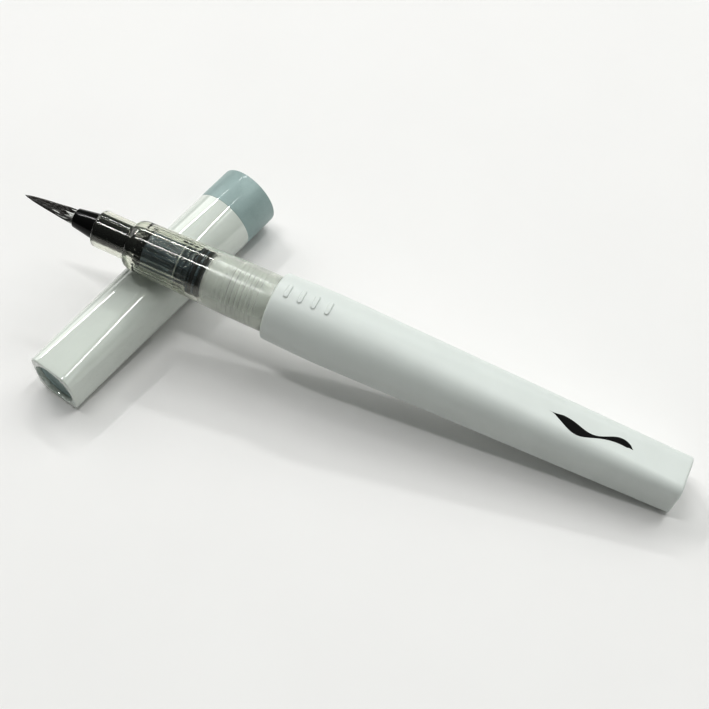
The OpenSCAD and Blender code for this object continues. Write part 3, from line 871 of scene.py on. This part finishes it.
class PEN_OT_clear_front(PenOperator, bpy.types.Operator):
    """Moulds the clear grip, shoulder and nose in one, with the thread in its bore"""
    bl_idname = "pen.mould_clear_front"
    bl_label = "Clear front"

    def make(self, context):
        size = self.size
        seat, grip, nose = size.seat_diameter / 2, size.grip_diameter / 2, size.nose_diameter / 2
        thread_bore, core_bore, nose_bore = size.thread_bore / 2, size.core_bore / 2, size.nose_bore / 2
        nose_at = size.grip_length + size.shoulder_length
        front = nose_at + size.nose_length
        step = size.neck_length + SEALS_ROOM
        thread_from, thread_foot, thread_top = 1.6, 2.1, 10.8
        ridge = 0.3 * (thread_bore - 4.5)
        outline = [(seat - 0.15, 0.1), (seat - 0.04, 0.14), (seat, 0.25)]
        outline += wall(seat, 2, size.seat_length, 2)
        outline += [(mix(seat, grip, (z - size.seat_length) / (size.grip_length - size.seat_length)), z)
                    for z in stations(size.seat_length, size.grip_length, 1.8)]
        outline += quarter((nose, size.grip_length), (grip - nose, size.shoulder_length), pi / 24)
        outline += [(nose, nose_at), (nose, nose_at + 0.35)]
        outline += wall(nose, nose_at + 1.2, front - size.nose_edge, 1.5)
        outline += quarter((nose - size.nose_edge, front - size.nose_edge),
                           (size.nose_edge, size.nose_edge), pi / 14)
        outline += [(nose - size.nose_edge, front), (nose_bore, front - 0.02)]
        outline += wall(nose_bore, front - 1, nose_at - 0.6, 1.4)
        outline += [(nose_bore, nose_at - 0.6), (core_bore, size.grip_length - 0.6)]
        outline += wall(core_bore, size.grip_length - 1.0, step, 0.9)
        outline += [(core_bore, step), (thread_bore, step)]
        outline += wall(thread_bore, step - 1, thread_top, 1.4)
        outline += wall(thread_bore, thread_top, thread_from, 0.09)
        outline += [(thread_bore, 1.2), (thread_bore, 0.3), (thread_bore + 0.1, 0.1)]
        shell = turned("clear_front", outline, 192)

        def mould(radius, angle, height):
            if abs(radius - thread_bore) < 0.001 and height < thread_top:
                radius -= ridge * ridge_rise(
                    (height - thread_foot) / size.thread_pitch, angle % (2 * pi) / (2 * pi),
                    size.thread_pitch, BORE_RIDGE, THREAD_TURNS)
            elif abs(radius - core_bore) < 0.001 and step + 0.4 < height:
                ends = ease(step + 0.4, step + 1.2, height) * ease(size.grip_length - 0.7,
                                                                   size.grip_length - 1.5, height)
                radius -= 0.11 * ends * (0.5 + 0.5 * cos(BORE_RIBS * angle)) ** 2
            return polar(radius, angle, height)

        reshape(shell, mould)
        self.fit(shell, "front", "clear",
            clear_plastic("clear_plastic", self.pen_at, self.colour.clear), ["front_shell"], smooth=30)


class PEN_OT_ink_feed(PenOperator, bpy.types.Operator):
    """Fits the ink felt with its flutes, the washer behind it and the small key on the collector"""
    bl_idname = "pen.fit_ink_feed"
    bl_label = "Ink feed"

    def make(self, context):
        size = self.size
        outer, start, end = size.felt_diameter / 2, size.felt_start, size.felt_end
        corners = [(1.02, start, 0), (outer, start, 0.15), (outer, end, 0.25), (1.02, end, 0)]
        outline = []
        for r, z in rounded(corners, 3):
            outline.append((r, z))
            if r > outer - 0.001 and z < (start + end) / 2:
                outline += [(outer, s) for s in stations(z, end - 0.4, 0.75)[1:]]
        felt = turned("felt_sleeve", outline, 144)

        flute(felt, 0.09, lambda radius, height: radius > outer - 0.3)
        self.fit(felt, "front", "felt",
            inked_felt("inked_felt", self.pen_at, self.colour.felt), ["ink_felt"], smooth=45)

        washer = turned("felt_washer", rounded(
            [(1.3, start - 0.17, 0), (4.18, start - 0.17, 0.05), (4.18, start - 0.03, 0.05),
             (1.3, start - 0.03, 0)], 2), 96)
        self.fit(washer, "front", "clear", frosted("washer_white", self.pen_at, self.colour.neck))
        self.collector()
        self.key(context)
        refinish("wick", fibre("inked_wick", self.pen_at, self.colour.felt, 4))

    def collector(self):
        """Turned drum with seats for the seal rings, three fins and fine flutes between them."""
        neck, core = self.size.neck_length, self.size.felt_diameter / 2
        bore, stem, seat, flange, fin_tip = 0.96, 3.3, 3.99, 4.75, 4.1
        outline = rounded([
            (bore, neck - 1.2, 0), (stem, neck - 1.2, 0.1), (stem, neck + 0.1, 0), (seat, neck + 0.1, 0.05),
            (seat, neck + 0.99, 0), (flange, neck + 0.99, 0.06), (flange, neck + 1.55, 0.06),
            (seat, neck + 1.55, 0), (seat, neck + 2.45, 0), (flange, neck + 2.45, 0.04),
            (flange, neck + 2.65, 0.04), (core, neck + 2.65, 0)], 2)
        for fin in (3.0, 4.18, 5.35):
            foot = neck + fin
            outline += [(core, foot + 0.1), (core, foot + 0.12), (fin_tip - 0.02, foot + 0.15),
                        (fin_tip, foot + 0.2), (fin_tip, foot + 0.26), (fin_tip - 0.02, foot + 0.3),
                        (core, foot + 0.33)]
        outline += [(core, neck + 5.8), (bore, neck + 5.8)]
        drum = turned("collector_drum", outline, 144)

        flute(drum, 0.1, lambda radius, height: abs(radius - core) < 0.01 and height > neck + 2.6)
        self.fit(drum, "front", "collector",
            inked_felt("inked_collector", self.pen_at, self.colour.felt), ["ink_collector"], smooth=45)

    def key(self, context):
        """Small dark key that stands beside the felt on its upper side."""
        clear_selection()
        bpy.ops.mesh.primitive_cube_add(size=1, location=(0, 0, 0))
        key = context.object
        key.name = key.data.name = "collector_key"
        key.scale = (0.5, 1.5, 1.3)
        bpy.ops.object.transform_apply(scale=True)
        bpy.ops.object.modifier_add(type="BEVEL")
        edge = key.modifiers[-1]
        edge.width, edge.segments = 0.2, 4
        bpy.ops.object.modifier_apply(modifier=edge.name)
        turn = Matrix.Rotation(radians(59), 4, "Z")
        key.data.transform(turn @ Matrix.Translation((3.86, 0, self.size.felt_start + 0.75)))
        self.fit(key, "front", "collector",
            rubber("key_black", self.pen_at, self.colour.rubber), smooth=40)


class PEN_OT_seal_rings(PenOperator, bpy.types.Operator):
    """Finishes the two rubber seal rings"""
    bl_idname = "pen.fit_seal_rings"
    bl_label = "Seal rings"

    def make(self, context):
        finish = rubber("seal_rubber", self.pen_at, self.colour.rubber)
        refinish("front_seal_ring", finish)
        refinish("rear_seal_ring", finish)


class PEN_OT_ferrule(PenOperator, bpy.types.Operator):
    """Turns the gloss black ferrule with its stem and flange"""
    bl_idname = "pen.turn_ferrule"
    bl_label = "Ferrule"

    def make(self, context):
        size = self.size
        front = size.grip_length + size.shoulder_length + size.nose_length
        mouth = front + size.ferrule_length
        stem, flange = size.nose_bore / 2 - FILM, size.core_bore / 2 - 0.1
        base, tip, hair = size.ferrule_base / 2, size.ferrule_mouth / 2, size.tuft_diameter / 2 + FILM
        flange_at, collar = size.grip_length - 1.4, size.felt_diameter / 2 - 0.02
        outline = rounded([
            (hair + 0.45, flange_at, 0), (flange, flange_at, 0.1), (flange, flange_at + 0.7, 0.1),
            (collar, flange_at + 0.7, 0.05), (collar, flange_at + 2.0, 0.25), (stem, flange_at + 2.5, 0),
            (stem, front - 0.8, 0.1), (base, front + 0.1, 0.1),
            (mix(base, tip, 0.5), front + 2.6, 3), (tip, mouth, 0.34), (hair, mouth, 0.05),
            (hair, front - HAIR_GRIP, 0), (hair + 0.45, front - HAIR_GRIP, 0)], 6)
        ferrule = turned("gloss_ferrule", outline, 128)

        def cut_tabs(radius, angle, height):
            if radius > collar:
                radius = mix(collar, radius, ease(0.6, 0.9, cos(4 * angle + 0.6)))
            return polar(radius, angle, height)

        reshape(ferrule, cut_tabs)
        self.fit(ferrule, "front", "ferrule",
            gloss_plastic("gloss_black", self.pen_at, self.colour.black, 0.1, 0.0, 0.22), ["brush_ferrule"])
        refinish("tuft_root", fibre("fused_hair", self.pen_at, self.colour.hair, 2))


class PEN_OT_brush(PenOperator, bpy.types.Operator):
    """Binds the tapering tuft: a dense core under some hundreds of separate strands"""
    bl_idname = "pen.bind_brush"
    bl_label = "Brush"

    strands: IntProperty(name="Strands", description="Number of hairs round the core", default=430, min=1)

    def make(self, context):
        size = self.size
        mouth = size.grip_length + size.shoulder_length + size.nose_length + size.ferrule_length
        start = mouth - size.ferrule_length - HAIR_GRIP
        hair = size.tuft_diameter / 2
        finish = wet_hair("wet_hair", self.pen_at, self.colour.hair, self.colour.pale_streak_colour, mouth)

        def reach(height):
            part = min(1.0, max(0.0, (height - mouth) / size.tuft_length))
            swell = 1 + 0.06 * sin(pi * min(1.0, 3 * part))
            return hair * swell * (1 - part) ** 0.64

        outline = [(0, start), (hair * 0.94, start), (hair * 0.94, mouth - 1)]
        outline += [(reach(z) * mix(0.9, 0.93, (z - mouth) / size.tuft_length), z)
                    for z in stations(mouth, mouth + size.tuft_length * 0.97, 0.5)]
        outline += [(0, mouth + size.tuft_length * 0.97)]
        core = turned("brush_core", outline, 48)
        self.fit(core, "front", "hair", finish, ["brush_tuft"], smooth=60)

        strand = turned("brush_hairs", [(0, 0)] + [(1, k / 7) for k in range(8)] + [(0, 1.02)], 4)
        pick(strand)
        corners = len(strand.data.vertices)
        bpy.ops.object.modifier_add(type="ARRAY")
        copies = strand.modifiers[-1]
        copies.count, copies.use_relative_offset = self.strands, False
        bpy.ops.object.modifier_apply(modifier=copies.name)
        self.comb(strand, corners, mouth, reach)
        self.fit(strand, "front", "hair", finish, smooth=80)

    def comb(self, strand, corners, mouth, reach):
        """Leads every strand from the ferrule's mouth along the tuft towards the tip."""
        dice = random.Random(7)
        full = self.size.tuft_length
        clumps = [2 * pi * (k + dice.uniform(-0.3, 0.3)) / HAIR_CLUMPS for k in range(HAIR_CLUMPS)]
        for first in range(0, len(strand.data.vertices), corners):
            angle = dice.uniform(0, 2 * pi)
            clump = min(clumps, key=lambda a: abs((a - angle + pi) % (2 * pi) - pi))
            pull = (clump - angle + pi) % (2 * pi) - pi
            depth = dice.uniform(0.92, 1.0)
            end = mouth + full * (1 - 0.3 * dice.random() ** 3)
            sway, phase = dice.uniform(-0.16, 0.16), dice.uniform(0, 2 * pi)
            thick = dice.uniform(0.05, 0.085)
            begin = mouth - 0.8
            for vertex in strand.data.vertices[first:first + corners]:
                x, y, part = vertex.co
                height = mix(begin, end, min(1.0, part))
                along = (height - mouth) / full
                turn = (angle + pull * 0.75 * (1 - ease(0.0, 0.4, along))
                        + sway * along + 0.03 * sin(9 * along + phase))
                slim = thick * mix(1.0, 0.5, max(0.0, part))
                out = max(0.0, min(reach(height) - slim * 1.1, hair_limit(reach(height), depth, part)))
                vertex.co = (out * cos(turn) + slim * (x * cos(turn) - y * sin(turn)),
                             out * sin(turn) + slim * (x * sin(turn) + y * cos(turn)), height)
        strand.data.update()


def hair_limit(reach, depth, part):
    """How far out a hair lies: near the skin of the tuft, dipping in at its own tip."""
    return reach * depth * (1 - 0.12 * ease(0.8, 1.0, part))


class PEN_OT_cap(PenOperator, bpy.types.Operator):
    """Moulds the gloss cap sleeve, square at its closed end and round at its mouth"""
    bl_idname = "pen.mould_cap"
    bl_label = "Cap sleeve"

    def make(self, context):
        cap = self.cap
        rim, edge = cap.mouth_diameter / 2, cap.end_edge
        band_at = cap.cap_length - cap.band_length
        spigot = rim - cap.band_wall - FILM
        plug, recess = cap.plug_diameter / 2 + FILM, cap.plug_depth + cap.plug_thickness
        inside = self.size.seat_diameter / 2 + 0.15
        half_end = cap.end_width / 2
        liner_room, seal_bore, slim_bore = 5.45, 4.49, 3.89
        slim_to, ledge = 18.9, plug - 1.8
        half = lambda z: mix(half_end, rim, z / band_at)
        outline = [(plug, 0.12), (plug + 0.04, 0.03), (plug + 0.12, 0)]
        outline += quarter((half_end - edge, edge), (edge, -edge), FILLET, outward=True)
        outline += [(half(z), z) for z in stations(edge, band_at, 1.6)]
        outline += [(rim, band_at), (spigot, band_at), (spigot, cap.cap_length - 0.25),
                    (spigot - 0.15, cap.cap_length - 0.1), (inside + 0.12, cap.cap_length - 0.1),
                    (inside, cap.cap_length - 0.22), (inside, band_at), (liner_room, cap.cavity_start),
                    (seal_bore, cap.cavity_start), (seal_bore, slim_to), (slim_bore, slim_to),
                    (slim_bore, recess + 0.6), (ledge, recess + 0.6), (ledge, recess), (plug, recess)]
        sleeve = turned("cap_body", outline, 192)

        def mould(radius, angle, height):
            part = height / band_at
            if part > 1 or half(height) - radius > edge + 0.01:
                return polar(radius, angle, height)
            corner = mix(cap.end_corner, rim, part) - (half(height) - radius)
            reach = (half_end - cap.end_corner) * (1 - part)
            return *on_round_square(angle, corner, reach), height

        reshape(sleeve, mould)
        self.fit(sleeve, "cap", "cap",
            gloss_plastic("gloss_white", self.cap_at, self.colour.cap, 0.25, 1.0, 0.03, 1.85), ["cap_sleeve"])


class PEN_OT_band(PenOperator, bpy.types.Operator):
    """Forms the metallic band at the mouth and the vented plug in the closed end"""
    bl_idname = "pen.form_band"
    bl_label = "Band and end plug"

    def make(self, context):
        cap = self.cap
        rim, inner = cap.mouth_diameter / 2, cap.mouth_diameter / 2 - cap.band_wall
        start = cap.cap_length - cap.band_length
        finish = metallic("blue_grey_metallic", self.cap_at, self.colour.band)
        outline = rounded([(inner, start + 0.02, 0), (rim, start + 0.02, 0.12), (rim, cap.cap_length, 0.18),
                           (inner, cap.cap_length, 0.08)], 4)
        band = turned("mouth_band", outline, 160)
        self.fit(band, "cap", "band", finish, ["cap_band"])

        plug, vent, face = cap.plug_diameter / 2, cap.vent_diameter / 2, cap.plug_depth
        back = face + cap.plug_thickness - FILM
        outline = rounded([(vent, back, 0), (vent, face + 0.3, 0.12), (plug - 1.1, face + 0.26, 0.6),
                           (plug - 0.5, face, 0.15), (plug, face, 0.12), (plug, back, 0)], 5)
        end_plug = turned("end_plug", outline, 128)
        self.fit(end_plug, "cap", "band",
            metallic("plug_metallic", self.cap_at, tuple(0.95 * part for part in self.colour.band)),
            ["cap_end_plug"])


class PEN_OT_liner(PenOperator, bpy.types.Operator):
    """Finishes the milky liner that seals on the nose"""
    bl_idname = "pen.fit_liner"
    bl_label = "Cap liner"

    def make(self, context):
        refinish("cap_liner", milky("liner_milky", self.cap_at, self.colour.liner))


# Sidebar ----------------------------------------------------------------------------------

OPERATORS = (PEN_OT_stage, PEN_OT_barrel, PEN_OT_neck, PEN_OT_print, PEN_OT_clear_front,
             PEN_OT_ink_feed, PEN_OT_seal_rings, PEN_OT_ferrule, PEN_OT_brush, PEN_OT_cap,
             PEN_OT_band, PEN_OT_liner)


class PEN_PT_marker(bpy.types.Panel):
    """Lists the sizes, colours and making steps"""
    bl_idname = "PEN_PT_marker"
    bl_label = "Calligraphy marker"
    bl_space_type = "VIEW_3D"
    bl_region_type = "UI"
    bl_category = "Marker"

    def draw(self, context):
        steps = self.layout.column(align=True)
        for operator in OPERATORS:
            steps.operator(operator.bl_idname)
        for name, group in GROUPS.items():
            box = self.layout.box()
            box.label(text=name.replace("_", " ").capitalize())
            for key in group.__annotations__:
                box.prop(getattr(context.scene, name), key)


def register():
    for group in GROUPS.values():
        bpy.utils.register_class(group)
    for name, group in GROUPS.items():
        setattr(bpy.types.Scene, name, PointerProperty(type=group))
    for operator in OPERATORS:
        bpy.utils.register_class(operator)
    bpy.utils.register_class(PEN_PT_marker)


def unregister():
    bpy.utils.unregister_class(PEN_PT_marker)
    for operator in reversed(OPERATORS):
        bpy.utils.unregister_class(operator)
    for name, group in reversed(GROUPS.items()):
        delattr(bpy.types.Scene, name)
        bpy.utils.unregister_class(group)


def main():
    register()
    for operator in OPERATORS:
        group, name = operator.bl_idname.split(".")
        getattr(getattr(bpy.ops, group), name)()


if __name__ == "__main__":
    main()
